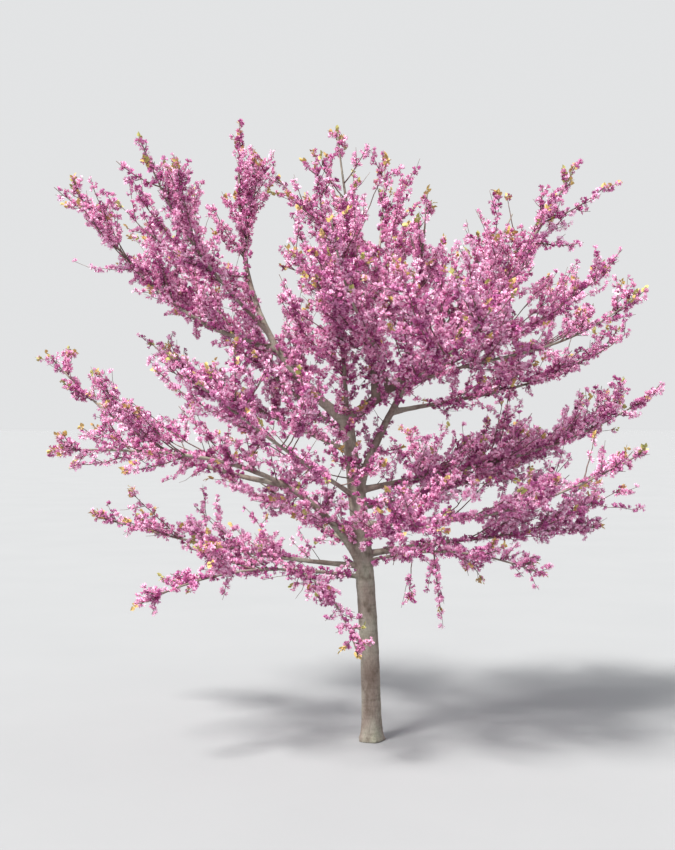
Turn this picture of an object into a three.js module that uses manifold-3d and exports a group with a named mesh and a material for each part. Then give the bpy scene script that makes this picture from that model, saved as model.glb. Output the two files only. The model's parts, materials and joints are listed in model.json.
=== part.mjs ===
// A young redbud tree in spring bloom, rooted in level ground.
// Millimetres, +Z up. The origin is the middle of the trunk's flat cut at ground level, +X is the viewer's
// right and +Y points away from the viewer. Bearings are in degrees round the trunk: 0 is +X and 90 is +Y.
import * as THREE from "three";
import { mergeVertices } from "three/addons/utils/BufferGeometryUtils.js";
import Module from "manifold-3d";

const wasm = await Module();
wasm.setup();

// Trunk
const TRUNK_HEIGHT = 1850; // ground to the fork
const TRUNK_LEAN = -145; // how far the fork stands to the side of the foot
const TRUNK_RADIUS = [57, 52]; // at the foot, without its flare, and under the first leader
const NARROWING = { radius: 12, from: 0.74, to: 0.9 }; // past the place where the right leader leaves
const FLARE = { radius: 22, height: 60, lobes: 5, lobeShare: 0.4 };
const TRUNK_SIDES = 12;
const TRUNK_RINGS = 22;

// Boughs: every limb tapers to the same slender tip, and its collar swells where it leaves its parent.
const TIP_RADIUS = 4;
const SLENDERNESS = 0.0095; // radius where it starts, as a share of its length
const BARE_SHARE = 0.22; // of its length, from its root to the first blossom
const TAPER_POWER = 0.8;
const COLLAR = { share: 0.45, length: 70 };
const BEND = 0.4; // share of its length that a limb keeps to its first and last direction
const BOUGH_SIDES = 6;
const BOUGH_RING_SPACING = 150;

// Stems, each a bough's own curve carried on through its mass, and the twigs on them
const TWIG_SPACING = 250;
const TWIG_PLACE = [0.3, 0.8]; // where in its own stretch of the stem a twig may start
const TWIG_LENGTH = { share: 0.54, most: 950 }; // of the bough's length
const TWIG_VARY = [0.65, 1.15]; // shortest and longest twig, as shares of that
const TWIG_RADIUS = [6, 3];
const TWIG_FORK = { angle: 44, spread: 28 };
const TWIG_WANDER = [50, 90]; // how far a twig may leave its rank, on a level and on an upright stem
const TWIG_LIFT = 0.28; // how far a twig turns up to the light, as a share of its length
const HANGING = { fork: 72, lift: -0.85 }; // of the twigs that hang from a drooping bough
const TWIG_SHORTENING = { share: 0.88, power: 1.4 }; // how much shorter twigs get towards the stem's tip
const HEADROOM = { level: 500, least: 40 }; // a twig's rise above its root, the first on a level bough
const FINGER = 120; // by which an upright bough's tip stands out above its twigs
const TWIG_BARE = 0.12; // share of a twig, from its root, with no blossom
const TWIG_END = 0.85; // share of a twig at which its wood ends, inside its last tuft
const TWIG_SIDES = 3;
const TWIG_RINGS = 1;
const STEM_END = 0.95;
const STEM_SIDES = 4;
const STEM_RINGS = 5;

// Blossom and leaves: a tuft is the blossom that sleeves one stretch of a twig, a leaf stands for a spray.
const TUFT = { radius: 52, length: 320, overlap: 0.12, vary: 0.2 };
const LEAF = { length: 110, width: 56, thickness: 5, sunk: 0.3 };

// Clearances
const GAP = 0.3; // between two solids that meet
const KEEP_CLEAR = 2; // between a twig or tuft and any other node
const BALL_SPACING = 24; // a solid's space is held by a row of balls this far apart

// Each bough: how far along the trunk, or the limb named by "from", it leaves, its furthest tip as bearing,
// reach from the trunk's foot and height, and its rise in degrees where it starts and at its tip. "heads" is
// the bearing on which it sets off, where that isn't the bearing of its tip. "bare" is its share below the
// first blossom, "spread" scales its twigs, "lift" is how far they turn up, "hanging" is how many of its
// first twigs hang instead, and "radius" is its own, where those aren't the common ones.
const BOUGHS = [
  {
    name: "left_leader", at: 1, tip: [169, 790, 3560], rise: [36, 92],
    heads: 180, bare: 0.42, spread: 0.55, radius: 31,
  },
  {
    name: "right_crown", at: 1, tip: [339, 1175, 3240], rise: [36, 62],
    heads: 0, bare: 0.28, spread: 0.9, radius: 32,
  },
  {
    name: "right_leader", at: 0.77, tip: [30, 1030, 3140], rise: [72, 62],
    heads: 0, bare: 0.42, spread: 0.48, radius: 28,
  },
  {
    name: "centre", from: "right_crown", at: 0.1, tip: [180, 200, 3540], rise: [84, 84],
    bare: 0.28, spread: 0.65, radius: 24,
  },
  {
    name: "far_left_crown", from: "left_leader", at: 0.3, tip: [165, 1905, 3305], rise: [12, 52],
    spread: 1.15,
  },
  {
    name: "mid_left_crown", from: "left_leader", at: 0.36, tip: [198, 1345, 3400], rise: [40, 66],
    spread: 1.8,
  },
  { name: "front_crown", at: 0.99, tip: [248, 830, 3170], rise: [82, 58], bare: 0.08 },
  { name: "back_centre", from: "centre", at: 0.2, tip: [82, 800, 3570], rise: [52, 74], spread: 0.6 },
  {
    name: "front_centre", from: "right_crown", at: 0.2, tip: [287, 890, 3025], rise: [50, 70],
    spread: 0.8,
  },
  {
    name: "right_high", from: "right_leader", at: 0.33, tip: [338, 1485, 2500], rise: [22, 38],
    spread: 1.6,
  },
  {
    name: "back_right_high", from: "right_leader", at: 0.24, tip: [28, 1705, 2310], rise: [10, 26],
    spread: 1.4,
  },
  {
    name: "back_right_crown", from: "right_leader", at: 0.35, tip: [24, 1630, 2850], rise: [24, 46],
    spread: 1.3,
  },
  { name: "right_mid", at: 0.78, tip: [15, 1750, 1980], rise: [12, 30], bare: 0.12, spread: 1.6 },
  {
    name: "right_low", at: 0.68, tip: [338, 1550, 1685], rise: [0, 30],
    bare: 0.2, spread: 0.85, lift: 0.15,
  },
  { name: "right_skirt", at: 0.58, tip: [21, 1555, 1190], rise: [8, 4], bare: 0.34, radius: 20 },
  {
    name: "right_droop", at: 0.56, tip: [326, 1085, 1035], rise: [14, -16],
    bare: 0.12, spread: 0.75, lift: 0.1, hanging: 2,
  },
  {
    name: "left_droop", at: 0.51, tip: [209, 1435, 880], rise: [10, -22],
    bare: 0.36, spread: 0.7, lift: 0.1,
  },
  { name: "left_skirt", at: 0.545, tip: [160, 1840, 1250], rise: [2, 12], spread: 0.65, lift: 0.05 },
  {
    name: "left_low", at: 0.53, tip: [199, 1820, 1695], rise: [62, 0],
    bare: 0.45, spread: 0.8, lift: 0.15, radius: 25,
  },
  {
    name: "left_mid", from: "left_low", at: 0.36, tip: [173, 1950, 2255], rise: [8, 46],
    spread: 0.6, lift: 0.18,
  },
  { name: "left_high", at: 0.9, tip: [149, 1655, 2365], rise: [22, 34], spread: 0.5 },
  { name: "front_droop", from: "left_droop", at: 0.3, tip: [263, 755, 636], rise: [-8, -58], spread: 0.6 },
  { name: "front_left", at: 0.76, tip: [238, 1600, 2020], rise: [20, 24], bare: 0.27, spread: 1.2 },
  {
    name: "front_right", from: "right_leader", at: 0.22, tip: [290, 1500, 2360], rise: [34, 26],
    spread: 1.5,
  },
  {
    name: "front_high", from: "right_crown", at: 0.14, tip: [260, 1300, 2800], rise: [42, 56],
    bare: 0.12, spread: 2.2,
  },
  { name: "front_low", at: 0.62, tip: [285, 1190, 1320], rise: [14, 0], spread: 0.75 },
  { name: "back_right", at: 0.73, tip: [48, 1750, 1680], rise: [2, 18], bare: 0.18, spread: 1.25 },
  { name: "back_left_crown", at: 0.96, tip: [142, 1500, 2860], rise: [26, 46], bare: 0.14, spread: 1.3 },
  {
    name: "back_mid", at: 0.6, tip: [120, 1550, 1460], rise: [8, 14],
    bare: 0.28, spread: 0.85, lift: 0.15,
  },
];

const BARK = new THREE.MeshStandardMaterial({ color: 0x8b7d70, roughness: 0.9, metalness: 0 });
const BLOSSOM = new THREE.MeshStandardMaterial({ color: 0xcf7fae, roughness: 0.8, metalness: 0 });

const UP = new THREE.Vector3(0, 0, 1);
const ACROSS = new THREE.Vector3(1, 0, 0);
const UPRIGHT = 0.9; // a limb that starts with more rise than this takes its rings' sides from ACROSS
const { clamp, degToRad, lerp, radToDeg, smoothstep } = THREE.MathUtils;

// The unit vector on a bearing and a rise above the horizon.
function heading(bearing, rise) {
  const [b, r] = [degToRad(bearing), degToRad(rise)];
  return new THREE.Vector3(Math.cos(r) * Math.cos(b), Math.cos(r) * Math.sin(b), Math.sin(r));
}

// A repeatable stream of numbers from 0 to 1.
function stream(seed) {
  let state = Math.imul(seed + 1, 2654435761) >>> 0;
  return () => {
    state = (Math.imul(state, 1664525) + 1013904223) >>> 0;
    return state / 4294967296;
  };
}

// Solids

// The closed solid that a three.js geometry bounds.
function solidOf(geometry) {
  geometry.deleteAttribute("normal");
  geometry.deleteAttribute("uv");
  const merged = mergeVertices(geometry);
  return new wasm.Manifold(
    new wasm.Mesh({
      numProp: 3,
      vertProperties: merged.attributes.position.array,
      triVerts: new Uint32Array(merged.index.array),
    }),
  );
}

// The largest outer shell of a fused solid: loose scraps and sealed hollows are left behind.
function mainBody(solid) {
  return solid.decompose().reduce((a, b) => (b.volume() > a.volume() ? b : a));
}

function geometryOf(solid) {
  const mesh = solid.getMesh();
  const geometry = new THREE.BufferGeometry();
  geometry.setAttribute("position", new THREE.BufferAttribute(mesh.vertProperties, 3));
  geometry.setIndex(new THREE.BufferAttribute(mesh.triVerts, 1));
  geometry.computeVertexNormals();
  return geometry;
}

// A closed limb on a stretch of a curve: a capped cylinder whose rings are carried along the curve without
// twist. radiusAt gives the radius at a share of the whole curve and an angle round the limb.
function tube(curve, [from, to], radiusAt, sides, rings) {
  const geometry = new THREE.CylinderGeometry(1, 1, 1, sides, rings);
  const frames = [];
  let side = Math.abs(curve.getTangent(clamp(from, 0, 1)).z) > UPRIGHT ? ACROSS : UP;
  for (let ring = 0; ring <= rings; ring++) {
    const share = lerp(from, to, ring / rings);
    const along = curve.getTangent(clamp(share, 0, 1));
    side = side.clone().addScaledVector(along, -side.dot(along)).normalize();
    frames.push({ share, at: curve.getPoint(share), side, other: side.clone().cross(along) });
  }
  const position = geometry.attributes.position;
  for (let i = 0; i < position.count; i++) {
    const [x, z] = [position.getX(i), position.getZ(i)];
    const frame = frames[Math.round((position.getY(i) + 0.5) * rings)];
    const radius = radiusAt(frame.share, Math.atan2(z, x));
    const out = frame.side.clone().multiplyScalar(x * radius).addScaledVector(frame.other, z * radius);
    position.setXYZ(i, ...frame.at.clone().add(out));
  }
  return solidOf(geometry);
}

// Space: each node holds its own with rows of balls, and nothing that would come too near another's is kept.

const held = [];

// Balls that cover a stretch of a curve.
function ballsAlong(curve, [from, to], radiusAt) {
  const length = curve.getPoint(from).distanceTo(curve.getPoint(to));
  const steps = Math.max(1, Math.ceil(length / BALL_SPACING));
  return Array.from({ length: steps + 1 }, (_, i) => {
    const share = lerp(from, to, i / steps);
    return { centre: curve.getPoint(share), radius: Math.hypot(radiusAt(share), BALL_SPACING / 2) };
  });
}

function hold(balls, owner) {
  held.push(...balls.map((ball) => ({ ...ball, owner })));
}

function isFree(balls, owner) {
  const others = held.filter((ball) => ball.owner !== owner);
  const clear = (a, b) => a.centre.distanceTo(b.centre) > a.radius + b.radius + KEEP_CLEAR;
  return balls.every((ball) => ball.centre.z > ball.radius && others.every((other) => clear(ball, other)));
}

// Limbs

const trunkCurve = new THREE.QuadraticBezierCurve3(
  new THREE.Vector3(0, 0, 0),
  new THREE.Vector3(0, 0, TRUNK_HEIGHT / 2),
  new THREE.Vector3(TRUNK_LEAN, 0, TRUNK_HEIGHT),
);

// Straight taper, narrower above the right leader, with a lobed root flare at the ground.
function trunkRadius(share, angle) {
  const narrowing = NARROWING.radius * smoothstep(share, NARROWING.from, NARROWING.to);
  const flare = FLARE.radius * Math.exp((-share * TRUNK_HEIGHT) / FLARE.height);
  const lobes = 1 + FLARE.lobeShare * Math.cos(FLARE.lobes * angle);
  return lerp(...TRUNK_RADIUS, share) - narrowing + flare * lobes;
}

// One smooth sweep from a point on the parent limb to the bough's furthest tip.
function boughCurve(bough, parent) {
  const [bearing, reach, height] = bough.tip;
  const root = parent.curve.getPoint(bough.at);
  const tip = heading(bearing, 0).multiplyScalar(reach).setZ(height);
  const across = radToDeg(Math.atan2(tip.y - root.y, tip.x - root.x));
  const pull = BEND * root.distanceTo(tip);
  const start = root.clone().addScaledVector(heading(bough.heads ?? across, bough.rise[0]), pull);
  const end = tip.clone().addScaledVector(heading(across, bough.rise[1]), -pull);
  return new THREE.CubicBezierCurve3(root, start, end, tip);
}

// A taper that is quicker near the root, with a collar there.
function boughRadius(bough, length) {
  const root = bough.radius ?? SLENDERNESS * length;
  return (share) => {
    const collar = 1 + COLLAR.share * Math.exp((-share * length) / COLLAR.length);
    return lerp(root, TIP_RADIUS, share ** TAPER_POWER) * collar;
  };
}

const limbs = new Map();

// A limb is solid up to a share of its curve, and is cut clear of the limbs that were there before it.
function addLimb(name, curve, end, radius, sides, rings) {
  const grown = (share, angle) => radius(clamp(share, 0, 1), angle) + GAP;
  const past = GAP / curve.getLength();
  const around = tube(curve, [-past, end + past], grown, sides, rings);
  let solid = tube(curve, [0, end], radius, sides, rings);
  for (const earlier of limbs.values()) {
    solid = solid.subtract(earlier.around);
  }
  limbs.set(name, { curve, end, radius, around, solid: mainBody(solid) });
  hold(ballsAlong(curve, [0, end], (share) => radius(share, 0)), name);
}

addLimb("trunk", trunkCurve, 1, trunkRadius, TRUNK_SIDES, TRUNK_RINGS);
for (const bough of BOUGHS) {
  const curve = boughCurve(bough, limbs.get(bough.from ?? "trunk"));
  const length = curve.getLength();
  const end = bough.bare ?? BARE_SHARE;
  const rings = Math.ceil((length * end) / BOUGH_RING_SPACING);
  addLimb(bough.name, curve, end, boughRadius(bough, length), BOUGH_SIDES, rings);
}

// Masses

// A twig's length, cut where it would rise too near the height of its bough's tip.
function headroom(length, away, root, curve, lift) {
  const rise = away.z + lift;
  const below = curve.getPoint(1).z - FINGER - root.z;
  const room = Math.max(below, HEADROOM.level * (1 - curve.getTangent(1).z), HEADROOM.least);
  return rise > 0 ? Math.min(length, room / rise) : length;
}

// How far a twig stands up or hangs from its stem: one that would hang from a level stem stands up instead.
function upswept(rise, tangent) {
  return rise < 0 ? rise * (2 * Math.abs(tangent.z) - 1) : rise;
}

// The twigs of a stem stand in two ranks, left and right of it, wander more on an upright stem, shorten
// towards its tip and turn up to the light.
function twigCurves(curve, from, { spread = 1, lift = TWIG_LIFT, hanging = 0 }, random) {
  const boughLength = curve.getLength();
  const longest = Math.min(TWIG_LENGTH.most, TWIG_LENGTH.share * boughLength) * spread;
  const count = Math.round((boughLength * (1 - from)) / TWIG_SPACING);
  return Array.from({ length: count }, (_, k) => {
    const along = (k + lerp(...TWIG_PLACE, random())) / count;
    const share = lerp(from, 1, along);
    const tangent = curve.getTangent(share);
    const side = tangent.clone().cross(UP).normalize();
    const upward = side.clone().cross(tangent);
    const wander = degToRad(lerp(...TWIG_WANDER, Math.abs(tangent.z)));
    const turn = (k % 2) * Math.PI + wander * (2 * random() - 1);
    const hangs = k < hanging;
    const fork = degToRad((hangs ? HANGING.fork : TWIG_FORK.angle) + TWIG_FORK.spread * (random() - 0.5));
    const bend = hangs ? HANGING.lift : lift;
    const rise = upswept(Math.sin(turn), tangent);
    const across = side.multiplyScalar(Math.cos(turn)).addScaledVector(upward, rise);
    const away = tangent.multiplyScalar(Math.cos(fork)).addScaledVector(across, Math.sin(fork));
    const root = curve.getPoint(share);
    const shortened = longest * (1 - TWIG_SHORTENING.share * along ** TWIG_SHORTENING.power);
    const length = headroom(shortened, away, root, curve, bend) * lerp(...TWIG_VARY, random());
    const middle = root.clone().addScaledVector(away, length / 2);
    const tip = root.clone().addScaledVector(away, length).addScaledVector(UP, bend * length);
    return new THREE.QuadraticBezierCurve3(root, middle, tip);
  });
}

// An eight-faced spindle about a straight axis, turned by an angle about it.
function spindle(axis, halfWidth, halfDepth, turn) {
  const facing = new THREE.Quaternion().setFromUnitVectors(UP, axis.getTangent(0));
  const middle = axis.getPoint(0.5);
  const geometry = new THREE.OctahedronGeometry(1, 0)
    .scale(halfWidth, halfDepth, axis.getLength() / 2)
    .rotateZ(turn)
    .applyQuaternion(facing)
    .translate(middle.x, middle.y, middle.z);
  return solidOf(geometry);
}

// A spindle joins its mass only where its space, which narrows to its two points, is free.
function fuseSpindle(mass, axis, halfWidth, halfDepth, turn) {
  const balls = ballsAlong(axis, [0, 1], (share) => halfWidth * (1 - Math.abs(2 * share - 1)));
  if (isFree(balls, mass.owner)) {
    hold(balls, mass.owner);
    mass.pieces.push(spindle(axis, halfWidth, halfDepth, turn));
  }
}

// Tufts of blossom sleeve a stem or a twig from a share of it to its tip, each a little over its neighbours.
function fuseTufts(mass, curve, from) {
  const count = Math.max(1, Math.round((curve.getLength() * (1 - from)) / TUFT.length));
  const shareAt = (place) => lerp(from, 1, clamp(place / count, 0, 1));
  for (let k = 0; k < count; k++) {
    const start = curve.getPoint(shareAt(k - TUFT.overlap));
    const end = curve.getPoint(shareAt(k + 1 + TUFT.overlap));
    const radius = TUFT.radius * lerp(1 - TUFT.vary, 1 + TUFT.vary, mass.random());
    fuseSpindle(mass, new THREE.LineCurve3(start, end), radius, radius, mass.random() * Math.PI);
  }
}

// A leaf grows on from a shoot's tip.
function fuseLeaf(mass, curve) {
  const along = curve.getTangent(1);
  const start = curve.getPoint(1).addScaledVector(along, -LEAF.sunk * LEAF.length);
  const end = start.clone().addScaledVector(along, LEAF.length);
  const axis = new THREE.LineCurve3(start, end);
  fuseSpindle(mass, axis, LEAF.width / 2, LEAF.thickness / 2, mass.random() * Math.PI);
}

const masses = BOUGHS.map((bough, index) => {
  const { curve, end, radius } = limbs.get(bough.name);
  const owner = bough.name + "_blossom";
  const start = end + GAP / curve.getLength();
  const stem = tube(curve, [start, STEM_END], radius, STEM_SIDES, STEM_RINGS);
  hold(ballsAlong(curve, [start, 1], radius), owner);
  return { bough, owner, curve, start, random: stream(index), twigs: [], pieces: [stem] };
});

const twigRadius = (share) => lerp(...TWIG_RADIUS, share);
for (const mass of masses) {
  for (const twig of twigCurves(mass.curve, mass.start, mass.bough, mass.random)) {
    const balls = ballsAlong(twig, [0, 1], twigRadius);
    if (isFree(balls, mass.owner)) {
      hold(balls, mass.owner);
      mass.twigs.push(twig);
      mass.pieces.push(tube(twig, [0, TWIG_END], twigRadius, TWIG_SIDES, TWIG_RINGS));
    }
  }
}

for (const mass of masses) {
  fuseTufts(mass, mass.curve, mass.start);
  mass.twigs.forEach((twig) => fuseTufts(mass, twig, TWIG_BARE));
  [mass.curve, ...mass.twigs].filter((_, k) => k % 2 === 0).forEach((shoot) => fuseLeaf(mass, shoot));
}

const tree = new THREE.Group();
tree.name = "redbud_tree";

function addMesh(group, name, solid, material) {
  const mesh = new THREE.Mesh(geometryOf(solid), material);
  mesh.name = name;
  group.add(mesh);
}

addMesh(tree, "trunk", limbs.get("trunk").solid, BARK);
for (const { bough, owner, pieces } of masses) {
  const group = new THREE.Group();
  addMesh(group, bough.name + "_bough", limbs.get(bough.name).solid, BARK);
  addMesh(group, owner, mainBody(wasm.Manifold.union(pieces)), BLOSSOM);
  tree.add(group);
}

export default tree;
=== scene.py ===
"""A young redbud tree in spring bloom: bark, twigs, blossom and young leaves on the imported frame.

Metres, +Z up. The origin is the middle of the trunk's cut at ground level, +X is the viewer's right
and +Y points away from the viewer. Bearings are in degrees round the trunk: 0 is +X and 90 is +Y.
"""

import json
import math
from dataclasses import dataclass, replace
from itertools import chain

import bpy
import numpy as np
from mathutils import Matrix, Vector, noise

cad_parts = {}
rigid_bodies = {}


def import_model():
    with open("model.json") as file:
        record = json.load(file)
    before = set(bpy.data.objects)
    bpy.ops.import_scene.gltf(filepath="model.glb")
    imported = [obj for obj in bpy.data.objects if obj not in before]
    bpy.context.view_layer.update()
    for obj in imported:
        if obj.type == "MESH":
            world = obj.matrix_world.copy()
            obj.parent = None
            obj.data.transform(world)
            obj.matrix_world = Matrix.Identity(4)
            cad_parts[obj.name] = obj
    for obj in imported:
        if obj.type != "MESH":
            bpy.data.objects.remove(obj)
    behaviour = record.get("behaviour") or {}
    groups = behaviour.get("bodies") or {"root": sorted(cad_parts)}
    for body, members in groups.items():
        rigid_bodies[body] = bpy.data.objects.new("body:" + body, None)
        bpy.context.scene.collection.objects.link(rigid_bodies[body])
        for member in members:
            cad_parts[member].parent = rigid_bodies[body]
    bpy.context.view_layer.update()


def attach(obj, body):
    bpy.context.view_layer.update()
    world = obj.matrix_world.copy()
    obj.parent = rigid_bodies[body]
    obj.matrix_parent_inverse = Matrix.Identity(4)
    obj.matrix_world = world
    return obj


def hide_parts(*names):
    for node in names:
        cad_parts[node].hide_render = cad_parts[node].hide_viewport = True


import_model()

# Where the tree is seen from

CAMERA = (-0.197, -7.0, 1.827)
FOCAL_PIXELS = 1207
IMAGE_HEIGHT = 850
SENSOR = 36  # millimetres
CLIP_END = 1000

# Trunk and boughs, as in the part

TRUNK_HEIGHT = 1.85
TRUNK_LEAN = -0.145
TRUNK_RADIUS = (0.057, 0.052)  # at the ground and at the fork
NARROWING = {"radius": 0.012, "from": 0.74, "to": 0.9}
FLARE = {"radius": 0.022, "height": 0.060, "lobes": 5, "lobe_share": 0.4}
TIP_RADIUS = 0.004
SLENDERNESS = 0.0095  # a bough's radius at its root, as a share of its length
BARE_SHARE = 0.22
TAPER_POWER = 0.8
COLLAR = {"share": 0.45, "length": 0.07}
BEND = 0.4  # how far a bough keeps the direction of each end, as a share of the way from root to tip
TWIG_LIFT = 0.28  # how far a twig turns up to the light, as a share of its length


@dataclass
class Bough:
    """A limb and its twigs. Its tip is a bearing, a reach and a height, its rise is that of both ends."""
    name: str
    at: float  # share of the parent limb
    tip: tuple
    rise: tuple
    parent: str = "trunk"
    heads: float = None  # bearing on which it sets off, where that isn't its tip's
    bare: float = BARE_SHARE  # share of it before its twigs begin
    radius: float = None  # at its root
    spread: float = 1.0  # of its twigs' length, where 1 is the usual
    lift: float = TWIG_LIFT
    hanging: int = 0  # how many of its first twigs hang


BOUGHS = (
    Bough("left_leader", 1, (169, 0.79, 3.56), (36, 92), heads=180, bare=0.42, spread=0.55, radius=0.031),
    Bough("right_crown", 1, (339, 1.175, 3.24), (36, 62), heads=0, bare=0.28, spread=0.9, radius=0.032),
    Bough("right_leader", 0.77, (30, 1.03, 3.14), (72, 62), heads=0, bare=0.42, spread=0.48, radius=0.028),
    Bough("centre", 0.1, (180, 0.2, 3.54), (84, 84),
          parent="right_crown", bare=0.28, spread=0.65, radius=0.024),
    Bough("far_left_crown", 0.3, (165, 1.905, 3.305), (12, 52), parent="left_leader", spread=1.15),
    Bough("mid_left_crown", 0.36, (198, 1.345, 3.4), (40, 66), parent="left_leader", spread=1.8),
    Bough("front_crown", 0.99, (248, 0.83, 3.17), (82, 58), bare=0.08),
    Bough("back_centre", 0.2, (82, 0.8, 3.57), (52, 74), parent="centre", spread=0.6),
    Bough("front_centre", 0.2, (287, 0.89, 3.025), (50, 70), parent="right_crown", spread=0.8),
    Bough("right_high", 0.33, (338, 1.485, 2.5), (22, 38), parent="right_leader", spread=1.6),
    Bough("back_right_high", 0.24, (28, 1.705, 2.31), (10, 26), parent="right_leader", spread=1.4),
    Bough("back_right_crown", 0.35, (24, 1.63, 2.85), (24, 46), parent="right_leader", spread=1.3),
    Bough("right_mid", 0.78, (15, 1.75, 1.98), (12, 30), bare=0.12, spread=1.6),
    Bough("right_low", 0.68, (338, 1.55, 1.685), (0, 30), bare=0.2, spread=0.85, lift=0.15),
    Bough("right_skirt", 0.58, (21, 1.555, 1.19), (8, 4), bare=0.34, radius=0.02),
    Bough("right_droop", 0.56, (326, 1.085, 1.035), (14, -16), bare=0.12, spread=0.75, lift=0.1, hanging=2),
    Bough("left_droop", 0.51, (209, 1.435, 0.88), (10, -22), bare=0.36, spread=0.7, lift=0.1),
    Bough("left_skirt", 0.545, (160, 1.84, 1.25), (2, 12), spread=0.65, lift=0.05),
    Bough("left_low", 0.53, (199, 1.82, 1.695), (62, 0), bare=0.45, spread=0.8, lift=0.15, radius=0.025),
    Bough("left_mid", 0.36, (173, 1.95, 2.255), (8, 46), parent="left_low", spread=0.6, lift=0.18),
    Bough("left_high", 0.9, (149, 1.655, 2.365), (22, 34), spread=0.5),
    Bough("front_droop", 0.3, (263, 0.755, 0.636), (-8, -58), parent="left_droop", spread=0.6),
    Bough("front_left", 0.76, (238, 1.6, 2.02), (20, 24), bare=0.27, spread=1.2),
    Bough("front_right", 0.22, (290, 1.5, 2.36), (34, 26), parent="right_leader", spread=1.5),
    Bough("front_high", 0.14, (260, 1.3, 2.8), (42, 56), parent="right_crown", bare=0.12, spread=2.2),
    Bough("front_low", 0.62, (285, 1.19, 1.32), (14, 0), spread=0.75),
    Bough("back_right", 0.73, (48, 1.75, 1.68), (2, 18), bare=0.18, spread=1.25),
    Bough("back_left_crown", 0.96, (142, 1.5, 2.86), (26, 46), bare=0.14, spread=1.3),
    Bough("back_mid", 0.6, (120, 1.55, 1.46), (8, 14), bare=0.28, spread=0.85, lift=0.15),
)

# Twigs, by the part's rule

TWIG_SPACING = 0.25
TWIG_RUNS = 3  # of the rule on each bough, the first with the part's own twigs
TWIG_PLACE = (0.3, 0.8)
TWIG_LENGTH = {"share": 0.54, "most": 0.95}
TWIG_VARY = (0.65, 1.15)
TWIG_FORK = {"angle": 44, "spread": 28}
TWIG_WANDER = (50, 90)
HANGING = {"fork": 72, "lift": -0.85}
TWIG_SHORTENING = {"share": 0.88, "power": 1.4}
HEADROOM = {"level": 0.50, "least": 0.04}  # a twig's room above its root, on a bough with a level tip
FINGER = 0.12  # by which an upright bough's tip stands out above its twigs
STREAM = {"seed": 2654435761, "step": 1664525, "shift": 1013904223, "size": 2**32}
TWIG_RADIUS = (0.0045, 0.002)
TWIG_BLOOM = (0.08, 1)
TWIG_POINTS = 9
STEM_POINTS = 26

# Finer shoots on stems and twigs


@dataclass
class FineShoots:
    """A kind of fine shoot: spacing and fork on its parent, length, radii, points and blooming stretch."""
    spacing: float
    length: tuple  # in metres, or for twiglets as shares of the twig
    fork: tuple
    radius: tuple
    points: int
    bloom: tuple  # shares of it, equal where it is bare
    kind: str = "spur"


SPUR = FineShoots(0.05, (0.07, 0.30), (35, 70), (0.0026, 0.0014), points=4, bloom=(0.1, 1))
TRUNK_SPUR = replace(SPUR, bloom=(0.3, 1))
TWIGLET = FineShoots(0.085, (0.3, 0.62), (28, 60), (0.0028, 0.0013), points=5, bloom=(0.06, 1))
BARE_TWIG = FineShoots(0.13, (0.08, 0.26), (40, 80), (0.0026, 0.0010), points=5, bloom=(1, 1), kind="bare")
SPUR_START = {"before": 0.33, "least": 0.05}  # a bough's spurs begin this share of it before its twigs
SPUR_END = 0.99
TRUNK_SPUR_SPAN = (0.7, 0.98)  # below the trunk's fork
TRUNK_SPUR_SCALE = 1.6
TWIGLET_SPAN = (0.1, 0.98)
BARE_TWIG_SPAN = {"from": 0.12, "past_bare": 0.1}
SPUR_SHORTENING = 0.55  # from a shoot's root to its tip
SHOOT_PLACE = (0.15, 0.85)  # of a fine shoot in its stretch of its parent
SIDE_TILT = 0.05  # of the two ranks that fine shoots stand in
SIDE_TURN = 1.4  # by which a fine shoot may turn out of its rank, in radians
ZIGZAG = {"step": 0.035, "first": 0.2, "vary": (0.4, 1)}  # a joint's step aside, as a share of its shoot
TWIG_STIFFNESS = 3  # a twig's joints step aside so much less than those of finer shoots
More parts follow.
